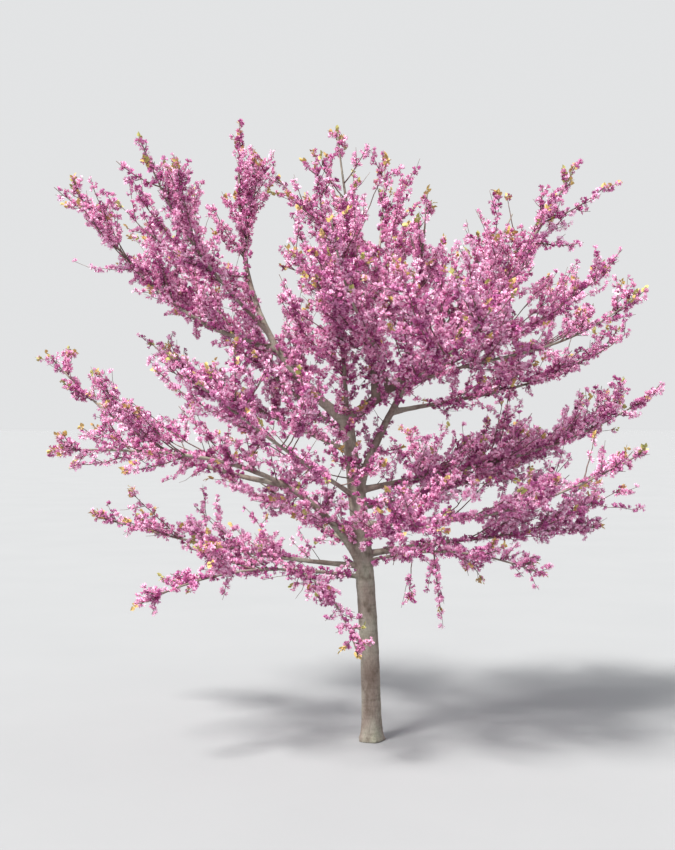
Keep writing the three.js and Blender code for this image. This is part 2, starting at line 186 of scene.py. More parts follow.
EXTRA_TWIGS = {  # on stretches without twigs: share of the limb, bearing, rise and length
    "trunk": (
        (0.62, 240, 10, 0.22),
        (0.66, 208, 2, 0.36),
        (0.81, 265, 0, 0.22),
        (0.82, 218, 2, 0.42),
        (0.83, 300, 2, 0.30),
        (0.95, 236, 2, 0.24),
        (0.97, 275, 0, 0.20),
    ),
    "left_leader": (
        (0.06, 320, -20, 0.25),
        (0.10, 250, 10, 0.28),
        (0.18, 215, 10, 0.32),
        (0.24, 290, 10, 0.28),
        (0.32, 200, -10, 0.25),
        (0.52, 195, 5, 0.30),
        (0.56, 215, -5, 0.28),
        (0.62, 185, 50, 0.30),
        (0.72, 350, 40, 0.20),
        (0.93, 30, 88, 0.16),
    ),
    "mid_left_crown": ((0.80, 190, 15, 0.25),),
    "centre": (
        (0.12, 255, 20, 0.30),
        (0.22, 200, 20, 0.30),
        (0.55, 180, 32, 0.52),
        (0.60, 0, 60, 0.40),
    ),
    "front_crown": (
        (0.15, 300, 0, 0.25),
        (0.22, 240, 0, 0.20),
        (0.28, 300, 10, 0.25),
        (0.62, 190, -12, 0.28),
    ),
    "back_left_crown": ((0.45, 230, 10, 0.30),),
    "left_high": (
        (0.35, 230, 20, 0.25),
        (0.40, 250, 35, 0.30),
    ),
    "front_left": (
        (0.12, 330, 10, 0.30),
        (0.65, 250, -50, 0.20),
    ),
    "left_low": (
        (0.38, 260, 40, 0.25),
        (0.44, 200, 45, 0.22),
        (0.46, 250, 60, 0.20),
        (0.50, 195, 30, 0.30),
        (0.52, 230, 50, 0.20),
        (0.66, 215, -20, 0.40),
        (0.78, 185, -20, 0.40),
    ),
    "right_crown": (
        (0.78, 350, -20, 0.30),
        (0.84, 350, 15, 0.36),
    ),
    "right_leader": (
        (0.08, 215, 0, 0.30),
        (0.12, 330, -10, 0.20),
        (0.88, 330, 45, 0.25),
    ),
    "right_high": ((0.25, 350, -15, 0.30),),
    "back_right_high": ((0.20, 320, 10, 0.30),),
    "right_mid": (
        (0.38, 330, 30, 0.40),
        (0.42, 320, 70, 0.30),
        (0.44, 300, -40, 0.28),
        (0.45, 330, 75, 0.34),
        (0.80, 330, 30, 0.25),
        (0.85, 10, 55, 0.25),
        (0.88, 20, 60, 0.20),
    ),
    "right_skirt": ((0.68, 350, 25, 0.30),),
    "right_droop": ((0.40, 300, -80, 0.36),),
}

# Openings through the crown, on the trunk's plane: side, height, half width and half height

OPENINGS = (
    (-0.62, 2.77, 0.09, 0.21),
    (-0.59, 2.48, 0.07, 0.16),
    (-0.53, 2.98, 0.07, 0.13),
    (-1.39, 2.84, 0.10, 0.035),
    (-1.39, 2.08, 0.09, 0.10),
    (-1.22, 1.96, 0.14, 0.06),
    (-1.22, 1.00, 0.10, 0.045),
    (-1.20, 1.14, 0.11, 0.05),
    (-1.08, 1.70, 0.16, 0.035),
    (-0.66, 1.52, 0.10, 0.06),
    (-0.47, 1.73, 0.15, 0.05),
    (-0.18, 1.50, 0.07, 0.07),
    (-0.27, 1.04, 0.11, 0.07),
    (-0.17, 3.26, 0.05, 0.10),
    (0.01, 3.06, 0.05, 0.15),
    (0.01, 1.48, 0.06, 0.07),
    (0.03, 1.13, 0.06, 0.04),
    (0.20, 0.985, 0.11, 0.05),
    (0.37, 2.96, 0.06, 0.10),
    (0.20, 1.90, 0.15, 0.08),
    (0.55, 1.22, 0.11, 0.03),
    (0.56, 1.36, 0.17, 0.04),
    (0.60, 1.82, 0.05, 0.05),
    (0.72, 0.975, 0.09, 0.055),
    (0.83, 3.06, 0.08, 0.09),
    (0.86, 2.51, 0.06, 0.05),
    (0.98, 2.77, 0.04, 0.08),
    (1.02, 1.87, 0.08, 0.08),
    (1.14, 2.30, 0.12, 0.045),
    (1.17, 1.56, 0.14, 0.04),
)
OPENING_EDGE = (0.85, 1.25)  # between these shares of an opening's size blossom thins out
LEAST_TWIG = 0.2  # share of a twig that must lie before an opening
MOST_BARE = 0.45  # share of a twig that may lie in an opening
LAST_CROSSING = 0.62  # share of a twig past which it crosses no opening
CROSSING_POINTS = 41  # of a twig that are tried against the openings

# Blossom

NODE_SPACING = 0.025  # between two clusters on a shoot
NODE_PLACE = (0.1, 0.9)  # of a cluster in its stretch of its shoot
FLOWERS = (5, 8)  # in a cluster
CLUSTER_SPREAD = 1.0  # how far a cluster's flowers turn from its own direction
CLUSTER_TILT = (55, 100)  # from its shoot's direction, in degrees
EMPTY_SHARE = (0.05, 0.35)  # of nodes that carry no cluster, at a shoot's root and tip
FLOWER_LENGTH = (0.020, 0.027)
FLOWER_ROLL = 0.6  # how far a flower's banner turns from upright
TIP_SIZE = 0.75  # of a flower at its shoot's tip, where one at the root is 1
PEDICEL = (0.004, 0.018)
PEDICEL_ROOT = 0.7  # of its shoot's radius, from the shoot's middle
LIGHT_SHADE_TINT_SHARES = {  # of clusters that are pale, rose, mauve and deep, from painted highlight to painted shade. Stems are dealt more of the deep painted shade and spurs more of the pale painted highlight
    "stem": (0.06, 0.24, 0.38, 0.32),
    "twig": (0.16, 0.36, 0.30, 0.18),
    "spur": (0.28, 0.36, 0.26, 0.10),
}
STRAY_SHARE = 0.3  # of clusters that don't take their shoot's tint
PALE_HIGHLIGHT_TIPS = 0.38  # share of the clusters at a shoot's tip that are pale, a painted highlight
PALE = 0  # place of that tint among the four

# Leaves

LEAF_LENGTH = (0.014, 0.025)
LEAF_STALK = 0.45  # as a share of the leaf's length
LEAF_SPREAD = 0.8  # how far a spray's leaves turn from their shoot's direction
LEAF_ROLL = 0.7  # how far a leaf's face turns from upright
LEAVES = (5, 9)  # in a spray
LEAF_STEP = 0.006  # from one leaf to the next, back along its shoot
SPRAY_SHARE = {"stem": 1.0, "twig": 0.6, "spur": 0.15}  # of shoots that end in a spray
LEAF_SHARES = (0.48, 0.26, 0.26)  # of sprays that are golden, green and bronze

UP = np.array((0.0, 0.0, 1.0))
SEED = 20
rng = np.random.default_rng(SEED)


# Curves

CURVE_POINTS = 201  # that measure a curve's length
LEAST_LENGTH = 1e-9  # keeps a division from failing


def unit(vectors):
    return vectors / np.maximum(np.linalg.norm(vectors, axis=-1, keepdims=True), LEAST_LENGTH)


def heading(bearing, rise):
    """The unit vector on a bearing and a rise above the horizon."""
    turn = math.radians(bearing)
    lift = math.radians(rise)
    return np.array((math.cos(lift) * math.cos(turn), math.cos(lift) * math.sin(turn), math.sin(lift)))


def bezier(control, shares):
    """Points at shares of a Bezier curve."""
    shares = np.atleast_1d(shares)[:, None, None]
    points = np.repeat(np.asarray(control)[None], len(shares), axis=0)
    while points.shape[1] > 1:
        points = points[:, :-1] * (1 - shares) + points[:, 1:] * shares
    return points[:, 0]


def bezier_direction(control, shares):
    return unit(bezier(np.diff(control, axis=0), shares))


def path_length(path):
    return np.linalg.norm(np.diff(path, axis=0), axis=1).sum()


def curve_length(control):
    return path_length(bezier(control, np.linspace(0, 1, CURVE_POINTS)))


def walk(path, shares):
    """Points and directions at shares of a path's length."""
    steps = np.diff(path, axis=0)
    lengths = np.linalg.norm(steps, axis=1)
    reach = np.concatenate(([0], np.cumsum(lengths))) / lengths.sum()
    points = np.stack([np.interp(shares, reach, path[:, k]) for k in range(3)], axis=1)
    index = np.clip(np.searchsorted(reach, shares, side="right") - 1, 0, len(steps) - 1)
    return points, steps[index] / lengths[index][:, None]


def lerp(low, high, share):
    return low + (high - low) * share


def smoothstep(value, low, high):
    share = np.clip((value - low) / (high - low), 0, 1)
    return share * share * (3 - 2 * share)


def circle(count):
    """Angles of points that lie evenly round a circle."""
    return 2 * math.pi * np.arange(count) / count


# Limbs

@dataclass
class Limb:
    """The trunk or a bough on its curve."""
    control: np.ndarray
    length: float
    bare: float
    radius: object  # a function of the share along the limb and the angle round it
    top: float  # height that the limb and its twigs reach
    lift: float = TWIG_LIFT


def trunk_radius(share, angle):
    """Straight taper, narrower above the right leader, with a lobed root flare at the ground."""
    narrowing = NARROWING["radius"] * smoothstep(share, NARROWING["from"], NARROWING["to"])
    flare = FLARE["radius"] * np.exp(-share * TRUNK_HEIGHT / FLARE["height"])
    lobes = 1 + FLARE["lobe_share"] * np.cos(FLARE["lobes"] * angle)
    return lerp(*TRUNK_RADIUS, share) - narrowing + flare * lobes


def bough_radius(bough, length):
    """A round section with a taper that is quicker near the root, and a collar there."""
    root = bough.radius or SLENDERNESS * length

    def radius(share, angle):
        collar = 1 + COLLAR["share"] * np.exp(-share * length / COLLAR["length"])
        return lerp(root, TIP_RADIUS, share ** TAPER_POWER) * collar * np.ones_like(angle)
    return radius


def bough_control(bough, parent):
    """One smooth sweep from a point on the parent limb to the bough's furthest tip."""
    bearing, reach, height = bough.tip
    root = bezier(parent.control, bough.at)[0]
    tip = heading(bearing, 0) * reach + UP * height
    across = math.degrees(math.atan2(tip[1] - root[1], tip[0] - root[0]))
    pull = BEND * np.linalg.norm(tip - root)
    sets_off = across if bough.heads is None else bough.heads
    start = root + heading(sets_off, bough.rise[0]) * pull
    end = tip - heading(across, bough.rise[1]) * pull
    return np.array((root, start, end, tip))


def all_limbs():
    """The trunk and each bough on its parent, by name."""
    control = np.array(((0, 0, 0), (0, 0, TRUNK_HEIGHT / 2), (TRUNK_LEAN, 0, TRUNK_HEIGHT)))
    top = max(bough.tip[2] for bough in BOUGHS)
    found = {"trunk": Limb(control, TRUNK_HEIGHT, 1, trunk_radius, top)}
    for bough in BOUGHS:
        control = bough_control(bough, found[bough.parent])
        length = curve_length(control)
        radius = bough_radius(bough, length)
        found[bough.name] = Limb(control, length, bough.bare, radius, bough.tip[2], bough.lift)
    return found


limbs = all_limbs()


# Shoots

@dataclass
class Shoot:
    """A path from root to tip, its radii along it, and the shares between which it blooms."""
    kind: str
    path: np.ndarray
    radii: np.ndarray
    bloom: tuple


def stream(seed):
    """The part's repeatable stream of numbers from 0 to 1."""
    state = (seed + 1) * STREAM["seed"] % STREAM["size"]
    while True:
        state = (state * STREAM["step"] + STREAM["shift"]) % STREAM["size"]
        yield state / STREAM["size"]


def headroom(length, away, root, limb, bend):
    """A shoot's length, cut where it would rise too near the top that its limb reaches."""
    rise = away[2] + bend
    below = limb.top - FINGER - root[2]
    tip_rise = unit(limb.control[-1] - limb.control[-2])[2]
    room = max(below, HEADROOM["level"] * (1 - tip_rise), HEADROOM["least"])
    return min(length, room / rise) if rise > 0 else length


def upswept(rise, tangent):
    """How far a shoot stands up or hangs from its stem: one that would hang from a level stem stands up."""
    return rise * (2 * abs(tangent[2]) - 1) if rise < 0 else rise


def twig_curve(root, away, length, bend):
    """A twig's curve, which sets off on its own way and turns up to the light or hangs."""
    straight = away * length
    return np.array((root, root + straight / 2, root + straight + UP * bend * length))


def twig_curves(limb, bough, numbers):
    """The part's rule: two ranks of twigs that shorten towards the stem's tip."""
    longest = min(TWIG_LENGTH["most"], TWIG_LENGTH["share"] * limb.length) * bough.spread
    count = int(limb.length * (1 - limb.bare) / TWIG_SPACING + 0.5)
    for k in range(count):
        along = (k + lerp(*TWIG_PLACE, next(numbers))) / count
        share = lerp(limb.bare, 1, along)
        tangent = bezier_direction(limb.control, share)[0]
        side = unit(np.cross(tangent, UP))
        lift = np.cross(side, tangent)
        wander = math.radians(lerp(*TWIG_WANDER, abs(tangent[2])))
        turn = (k % 2) * math.pi + wander * (2 * next(numbers) - 1)
        hangs = k < bough.hanging
        angle = HANGING["fork"] if hangs else TWIG_FORK["angle"]
        fork = math.radians(angle + TWIG_FORK["spread"] * (next(numbers) - 0.5))
        bend = HANGING["lift"] if hangs else limb.lift
        across = side * math.cos(turn) + lift * upswept(math.sin(turn), tangent)
        away = tangent * math.cos(fork) + across * math.sin(fork)
        root = bezier(limb.control, share)[0]
        length = longest * (1 - TWIG_SHORTENING["share"] * along ** TWIG_SHORTENING["power"])
        length = headroom(length, away, root, limb, bend) * lerp(*TWIG_VARY, next(numbers))
        yield twig_curve(root, away, length, bend)


def zigzag(path, length):
    """Steps a path's inner points to and fro, as a shoot turns at each of its joints."""
    tangent = unit(path[-1] - path[0])
    sideways = unit(np.cross(tangent, rng.normal(size=3)))
    signs = np.where(np.arange(len(path)) % 2, 1, -1) * np.linspace(ZIGZAG["first"], 1, len(path))
    signs[[0, -1]] = 0
    steps = signs * ZIGZAG["step"] * length * rng.uniform(*ZIGZAG["vary"], len(path))
    return path + sideways * steps[:, None]


def fine_shoots(limb, parent, rule, span, bend, scale=1):
    """Finer shoots in two ranks along a parent's path, between two shares of it."""
    start, end = span
    count = max(1, int(path_length(parent) * (end - start) / rule.spacing))
    places = start + (end - start) * (np.arange(count) + rng.uniform(*SHOOT_PLACE, count)) / count
    roots, tangents = walk(parent, places)
    shoots = []
    for k in range(count):
        side = unit(np.cross(tangents[k], UP + SIDE_TILT * rng.normal(size=3)))
        lift = np.cross(side, tangents[k])
        turn = (k % 2) * math.pi + rng.uniform(-SIDE_TURN, SIDE_TURN)
        fork = math.radians(rng.uniform(*rule.fork))
        across = side * math.cos(turn) + lift * math.sin(turn)
        away = tangents[k] * math.cos(fork) + across * math.sin(fork)
        length = scale * rng.uniform(*rule.length) * (1 - SPUR_SHORTENING * places[k])
        length = headroom(length, away, roots[k], limb, bend)
        shares = np.linspace(0, 1, rule.points)[:, None]
        path = roots[k] + away * length * shares + UP * bend * length * shares**2
        radii = np.linspace(*rule.radius, rule.points)
        shoots.append(Shoot(rule.kind, zigzag(path, length), radii, rule.bloom))
    return shoots


def openness(points):
    """How far points lie from the nearest opening's middle, seen from the front, as shares of its size."""
    scale = CAMERA[1] / (CAMERA[1] - points[:, 1])
    side = lerp(CAMERA[0], points[:, 0], scale)
    height = lerp(CAMERA[2], points[:, 2], scale)
    shares = [np.hypot((side - x) / wide, (height - z) / high) for x, z, wide, high in OPENINGS]
    return np.min(shares, axis=0)


def clear_share(control):
    """The share of a twig's curve that grows: it stops before an opening that it would end or run on in."""
    shares = np.linspace(0, 1, CROSSING_POINTS)
    inside = openness(bezier(control, shares)) < 1
    first = shares[np.argmax(inside)]
    stops = inside[-1] or inside.mean() > MOST_BARE or first > LAST_CROSSING
    return first if stops else 1


def keeps_clear(shoot):
    """Whether a shoot may stay: stems and twigs may cross an opening, and finer shoots may not."""
    return shoot.kind in ("stem", "twig") or openness(shoot.path[1:]).min() > 1


def twig_shoots(limb, control):
    """A twig on its curve with its twiglets, which hang where it hangs."""
    reach = clear_share(control)
    if reach < LEAST_TWIG:
        return []
    path = bezier(control, np.linspace(0, reach, TWIG_POINTS))
    length = path_length(path)
    radii = np.linspace(*TWIG_RADIUS, TWIG_POINTS)
    twig = Shoot("twig", zigzag(path, length / TWIG_STIFFNESS), radii, TWIG_BLOOM)
    hangs = control[-1][2] < control[0][2] - length / 2
    bend = HANGING["lift"] if hangs else limb.lift
    return [twig] + fine_shoots(limb, twig.path, TWIGLET, TWIGLET_SPAN, bend, length)


def bough_shoots(index, bough):
    """A bough's stem with its spurs, bare twigs and blooming twigs."""
    limb = limbs[bough.name]
    shares = np.linspace(0, 1, STEM_POINTS)
    path = bezier(limb.control, shares)
    start = max(SPUR_START["least"], bough.bare - SPUR_START["before"])
    bare_span = (BARE_TWIG_SPAN["from"], bough.bare + BARE_TWIG_SPAN["past_bare"])
    shoots = [Shoot("stem", path, limb.radius(shares, 0), (start, 1))]
    shoots += fine_shoots(limb, path, SPUR, (start, SPUR_END), limb.lift)
    shoots += fine_shoots(limb, path, BARE_TWIG, bare_span, limb.lift)
    seeds = range(index, index + TWIG_RUNS * len(BOUGHS), len(BOUGHS))
    for control in chain(*(twig_curves(limb, bough, stream(seed)) for seed in seeds)):
        shoots += twig_shoots(limb, control)
    return shoots


def grow():
    """Every shoot of the crown: those of the trunk, of each bough and of the stretches without twigs."""
    trunk = limbs["trunk"]
    path = bezier(trunk.control, np.linspace(0, 1, STEM_POINTS))
    shoots = fine_shoots(trunk, path, TRUNK_SPUR, TRUNK_SPUR_SPAN, trunk.lift, TRUNK_SPUR_SCALE)
    for index, bough in enumerate(BOUGHS):
        shoots += bough_shoots(index, bough)
    for name, rows in EXTRA_TWIGS.items():
        limb = limbs[name]
        for share, bearing, rise, length in rows:
            root = bezier(limb.control, share)[0]
            shoots += twig_shoots(limb, twig_curve(root, heading(bearing, rise), length, limb.lift))
    return [shoot for shoot in shoots if keeps_clear(shoot)]


# Meshes

STEEP = 0.9  # sine of the rise past which a tube's first side is its right and not its top


def mesh_piece(name, vertices, triangles, material, smooth=False):
    """An object from arrays of points and triangles."""
    mesh = bpy.data.meshes.new(name)
    mesh.vertices.add(len(vertices))
    mesh.vertices.foreach_set("co", np.ascontiguousarray(vertices, dtype=np.float32).ravel())
    mesh.loops.add(triangles.size)
    mesh.loops.foreach_set("vertex_index", np.ascontiguousarray(triangles, dtype=np.int32).ravel())
    mesh.polygons.add(len(triangles))
    mesh.polygons.foreach_set("loop_start", np.arange(0, triangles.size, 3, dtype=np.int32))
    mesh.polygons.foreach_set("use_smooth", np.full(len(triangles), smooth))
    mesh.update()
    mesh.materials.append(material)
    piece = bpy.data.objects.new(name, mesh)
    bpy.context.scene.collection.objects.link(piece)
    return piece


def copies(shapes, triangles):
    """Arrays of many shapes with the same triangles, from the points of each: (shapes, points, 3)."""
    starts = np.arange(len(shapes))[:, None, None] * shapes.shape[1]
    return shapes.reshape(-1, 3), (triangles[None] + starts).reshape(-1, 3)


def placed(template, frames, origins, scales):
    """The points of a small shape in many frames, each with its three axes as rows."""
    return np.einsum("vk,nkj->nvj", template, frames * scales[:, None, None]) + origins[:, None]


def joined(parts):
    """Several arrays of points and triangles as one."""
    offsets = np.cumsum([0] + [len(points) for points, _ in parts[:-1]])
    vertices = np.concatenate([points for points, _ in parts])
    triangles = np.concatenate([corners + offset for (_, corners), offset in zip(parts, offsets)])
    return vertices, triangles


def tube_triangles(rings, sides):
    """Triangles of a tube's wall and of both its ends."""
    ring, side = np.meshgrid(np.arange(rings - 1), np.arange(sides), indexing="ij")
    corner = ring * sides + side
    beside = ring * sides + (side + 1) % sides
    wall = np.concatenate((
        np.stack((corner, corner + sides, beside), -1),
        np.stack((beside, corner + sides, beside + sides), -1),
    ))
    fan = np.arange(1, sides - 1)
    first = np.stack((0 * fan, fan, fan + 1), -1)
    last = first[:, ::-1] + (rings - 1) * sides
    return np.concatenate((wall.reshape(-1, 3), first, last))


def tube_arrays(paths, radii, sides):
    """Tubes on paths of equal point counts. The radii differ by tube, by ring and, if need be, by side."""
    count, rings = paths.shape[:2]
    along = unit(np.gradient(paths, axis=1))
    seed = np.where(np.abs(along[:, :1, 2:]) > STEEP, (1.0, 0, 0), UP)
    side = np.repeat(seed, rings, axis=1)
    for ring in range(rings):
        last = side[:, ring - 1] if ring else side[:, 0]
        tangent = along[:, ring]
        side[:, ring] = unit(last - tangent * (last * tangent).sum(1, keepdims=True))
    other = np.cross(side, along)
    angle = circle(sides)
    out = side[:, :, None] * np.cos(angle)[:, None] + other[:, :, None] * np.sin(angle)[:, None]
    points = paths[:, :, None] + out * radii[..., None]
    return copies(points.reshape(count, rings * sides, 3), tube_triangles(rings, sides))


# Materials

SPECULAR = 0.3
MOTTLE_STOPS = (0.35, 0.65)
NOISE_DETAIL = 3


def material_nodes(name, roughness):
    material = bpy.data.materials.new(name)
    material.use_nodes = True
    nodes = material.node_tree.nodes
    shader = nodes["Principled BSDF"]
    shader.inputs["Roughness"].default_value = roughness
    shader.inputs["Specular IOR Level"].default_value = SPECULAR
    return material, nodes, material.node_tree.links, shader


def noise_node(nodes, links, place, scale, detail=NOISE_DETAIL, stretch=(1, 1, 1)):
    mapping = nodes.new("ShaderNodeMapping")
    mapping.inputs["Scale"].default_value = stretch
    links.new(place, mapping.inputs["Vector"])
    texture = nodes.new("ShaderNodeTexNoise")
    texture.inputs["Scale"].default_value = scale
    texture.inputs["Detail"].default_value = detail
    links.new(mapping.outputs["Vector"], texture.inputs["Vector"])
    return texture.outputs["Fac"]


def ramp_node(nodes, links, value, stops):
    ramp = nodes.new("ShaderNodeValToRGB")
    elements = ramp.color_ramp.elements
    while len(elements) < len(stops):
        elements.new(0.5)
    for element, (position, colour) in zip(elements, stops):
        element.position = position
        element.color = (*colour, 1)
    links.new(value, ramp.inputs["Fac"])
    return ramp.outputs["Color"]


def multiply_node(nodes, links, first, second):
    mix = nodes.new("ShaderNodeMix")
    mix.data_type = "RGBA"
    mix.blend_type = "MULTIPLY"
    mix.inputs["Factor"].default_value = 1
    links.new(first, mix.inputs["A"])
    links.new(second, mix.inputs["B"])
    return mix.outputs["Result"]


def mottled_material(name, tints, scale, roughness):
    """A soft surface whose tint drifts between two colours."""
    material, nodes, links, shader = material_nodes(name, roughness)
    place = nodes.new("ShaderNodeTexCoord").outputs["Object"]
    value = noise_node(nodes, links, place, scale)
    colour = ramp_node(nodes, links, value, tuple(zip(MOTTLE_STOPS, tints)))
    links.new(colour, shader.inputs["Base Color"])
    return material


# Bark

BARK_SIDES = 14
BARK_RINGS = 60
BARK_VOXEL = 0.0055
BARK_SMOOTHING = {"factor": 0.5, "iterations": 5}
BARK_TRIANGLES = 60000
BARK_OVERRUN = 0.04  # how far, as a share of a bough, its bark runs on into its first blossom
LUMPS = {"scale": (14, 14, 14), "height": 0.0022}
RIDGES = {"scale": (9, 9, 70), "height": 0.0008}  # round the limb
FISSURES = {"scale": (60, 60, 9), "height": 0.003}  # up the foot of the trunk
FISSURE_FADE = 0.22  # height over which they fade
BARK_ROUGHNESS = 0.85
BARK_BUMP = {"Strength": 0.5, "Distance": 0.003}
CLEAR = (1, 1, 1)  # leaves what lies below as it is
BARK_LAYERS = {  # scale, detail, stretch and stops of colour. All but the patches darken what lies below
    "patches": (7, 4, (1, 1, 0.5), (
        (0.30, (0.205, 0.156, 0.132)),
        (0.45, (0.285, 0.238, 0.206)),
        (0.56, (0.345, 0.318, 0.270)),
        (0.68, (0.315, 0.318, 0.250)),
    )),
    "blotches": (26, 5, (1, 1, 0.6), ((0.30, (0.62, 0.59, 0.56)), (0.50, CLEAR))),
    "rings": (16, 4, (0.6, 0.6, 3.4), ((0.25, (0.72, 0.70, 0.67)), (0.52, CLEAR))),
    "grain": (170, 3, (1, 1, 0.3), ((0.30, (0.78, 0.77, 0.76)), (0.60, CLEAR))),
}


def bark_material():
    """Smooth young bark: grey-brown and greenish patches under blotches, faint rings and fine grain."""
    material, nodes, links, shader = material_nodes("bark", BARK_ROUGHNESS)
    place = nodes.new("ShaderNodeTexCoord").outputs["Object"]
    values = {}
    colours = []
    for name, (scale, detail, stretch, stops) in BARK_LAYERS.items():
        values[name] = noise_node(nodes, links, place, scale, detail, stretch)
        colours.append(ramp_node(nodes, links, values[name], stops))
    tone = colours[0]
    for colour in colours[1:]:
        tone = multiply_node(nodes, links, tone, colour)
    links.new(tone, shader.inputs["Base Color"])
    bump = nodes.new("ShaderNodeBump")
    for key, value in BARK_BUMP.items():
        bump.inputs[key].default_value = value
    links.new(values["blotches"], bump.inputs["Height"])
    links.new(bump.outputs["Normal"], shader.inputs["Normal"])
    return material


def limb_arrays(limb):
    """A closed tube on a limb's bare stretch."""
    end = min(1, limb.bare + BARK_OVERRUN)
    shares = np.linspace(0, end, BARK_RINGS)
    radii = limb.radius(shares[:, None], circle(BARK_SIDES)[None])
    return tube_arrays(bezier(limb.control, shares)[None], radii[None], BARK_SIDES)


def relief_layer(point, layer):
    """How far one layer of noise, drawn out by its scale, lifts a point."""
    place = Vector([float(p) * s for p, s in zip(point, layer["scale"])])
    return noise.noise(place) * layer["height"]


def relief(point):
    """How far the bark stands out: broad lumps, low ridges round the limb and fissures at the foot."""
    foot = math.exp(-float(point[2]) / FISSURE_FADE)
    return relief_layer(point, LUMPS) + relief_layer(point, RIDGES) + relief_layer(point, FISSURES) * foot


def modify(piece, kind, **settings):
    """Replaces the piece's mesh by what one modifier makes of it."""
    modifier = piece.modifiers.new(kind, kind)
    for key, value in settings.items():
        setattr(modifier, key, value)
    graph = bpy.context.evaluated_depsgraph_get()
    mesh = bpy.data.meshes.new_from_object(piece.evaluated_get(graph))
    piece.modifiers.clear()
    piece.data = mesh


def vertex_rows(mesh, key):
    """One attribute of all vertices, such as co or normal, as rows of three."""
    values = np.empty(len(mesh.vertices) * 3, np.float32)
    mesh.vertices.foreach_get(key, values)
    return values.reshape(-1, 3)


def build_bark(material):
    """Trunk and boughs fused in one skin with smooth crotches, then roughened."""
    piece = mesh_piece("bark", *joined([limb_arrays(limb) for limb in limbs.values()]), material, True)
    modify(piece, "REMESH", mode="VOXEL", voxel_size=BARK_VOXEL)
    modify(piece, "SMOOTH", **BARK_SMOOTHING)
    mesh = piece.data
    points = vertex_rows(mesh, "co")
    heights = np.array([relief(point) for point in points], dtype=np.float32)
    points += vertex_rows(mesh, "normal") * heights[:, None]
    points[:, 2] = np.maximum(points[:, 2], 0)  # the cut at the ground stays flat
    mesh.vertices.foreach_set("co", points.ravel())
    mesh.update()
    triangles = sum(len(polygon.vertices) - 2 for polygon in mesh.polygons)
    modify(piece, "DECIMATE", ratio=min(1, BARK_TRIANGLES / triangles))
    mesh = piece.data
    mesh.polygons.foreach_set("use_smooth", np.full(len(mesh.polygons), True))
    mesh.materials.clear()
    mesh.materials.append(material)
    return piece


# Stems and twigs

STEM_START = 0.03  # how far, as a share of a bough, past its bare stretch its stem starts
SHOOT_SIDES = {"stem": 7, "twig": 5, "spur": 3, "bare": 3}
TWIG_TINTS = ((0.10, 0.060, 0.058), (0.25, 0.175, 0.155))
TWIG_GRAIN = 60
TWIG_ROUGHNESS = 0.8


def build_stems(material):
    """Each bough carried on to its tip, from just inside the end of its bark."""
    parts = []
    for bough in BOUGHS:
        limb = limbs[bough.name]
        shares = np.linspace(limb.bare + STEM_START, 1, STEM_POINTS)
        path = bezier(limb.control, shares)
        radii = limb.radius(shares, 0)
        parts.append(tube_arrays(path[None], radii[None, :, None], SHOOT_SIDES["stem"]))
    return mesh_piece("stems", *joined(parts), material, True)


def build_twigs(shoots):
    """All finer shoots as tubes."""
    groups = {}
    for shoot in shoots:
        if shoot.kind != "stem":
            groups.setdefault((shoot.kind, len(shoot.path)), []).append(shoot)
    parts = []
    for (kind, _), group in groups.items():
        paths = np.stack([shoot.path for shoot in group])
        radii = np.stack([shoot.radii for shoot in group])[..., None]
        parts.append(tube_arrays(paths, radii, SHOOT_SIDES[kind]))
    material = mottled_material("twig", TWIG_TINTS, TWIG_GRAIN, TWIG_ROUGHNESS)
    return mesh_piece("twigs", *joined(parts), material, True)


# Blossom: a flower's length runs along +Z, away from its shoot, and its banner stands up along +X

WING = np.array(((0.02, 0.05, 0.2), (0.10, 0.48, 0.55), (0.36, 0.42, 0.85), (0.22, 0.06, 0.7)))
BANNER = np.array(((0.05, 0, 0.2), (0.5, 0.34, 0.45), (0.72, 0, 0.62), (0.5, -0.34, 0.45)))
QUAD = np.array(((0, 1, 2), (0, 2, 3)))
PETALS = np.concatenate((WING, WING * (1, -1, 1), BANNER))
PETAL_TRIANGLES = np.concatenate((QUAD, QUAD[:, ::-1] + len(WING), QUAD + 2 * len(WING)))
KEEL = np.array(((-0.02, 0.17, 0.30), (-0.22, 0, 0.92), (-0.02, -0.17, 0.30)))
# Lit and shaded copies of one petal colour: pale is a painted highlight and deep is painted shade, with
# rose and mauve between. The spread also holds some real difference of colour from spray to spray.
PETAL_LIGHT_SHADE_TINTS = {
    "pale": ((0.93, 0.55, 0.77), (0.98, 0.73, 0.90)),
    "rose": ((0.83, 0.39, 0.62), (0.95, 0.56, 0.78)),
    "mauve": ((0.64, 0.23, 0.47), (0.79, 0.35, 0.60)),
    "deep": ((0.42, 0.08, 0.27), (0.58, 0.15, 0.39)),
}
# Hearts are darker than their petals: the real darker calyx and keel, deepened into painted shade between
# the petals. Each tint is a lit or shaded copy, like the petals', from painted highlight to painted shade.
HEART_LIGHT_SHADE_TINTS = {
    "pale": ((0.58, 0.12, 0.33), (0.74, 0.22, 0.46)),
    "rose": ((0.46, 0.065, 0.24), (0.60, 0.13, 0.34)),
    "mauve": ((0.35, 0.04, 0.19), (0.50, 0.085, 0.29)),
    "deep": ((0.23, 0.022, 0.10), (0.36, 0.045, 0.18)),
}
PETAL_GRAIN = 70
PETAL_ROUGHNESS = 0.6


def cluster_tints(shoot, places):
    """Tints of a shoot's clusters, painted highlight to painted shade: its own tint, strays, and pale
    painted-highlight ones towards its tip.
    """
    dealt = LIGHT_SHADE_TINT_SHARES[shoot.kind]
    own = rng.choice(len(dealt), p=dealt)
    stray = rng.choice(len(dealt), len(places), p=dealt)
    tints = np.where(rng.random(len(places)) < STRAY_SHARE, stray, own)
    tints[rng.random(len(places)) < PALE_HIGHLIGHT_TIPS * places**2] = PALE
    return tints


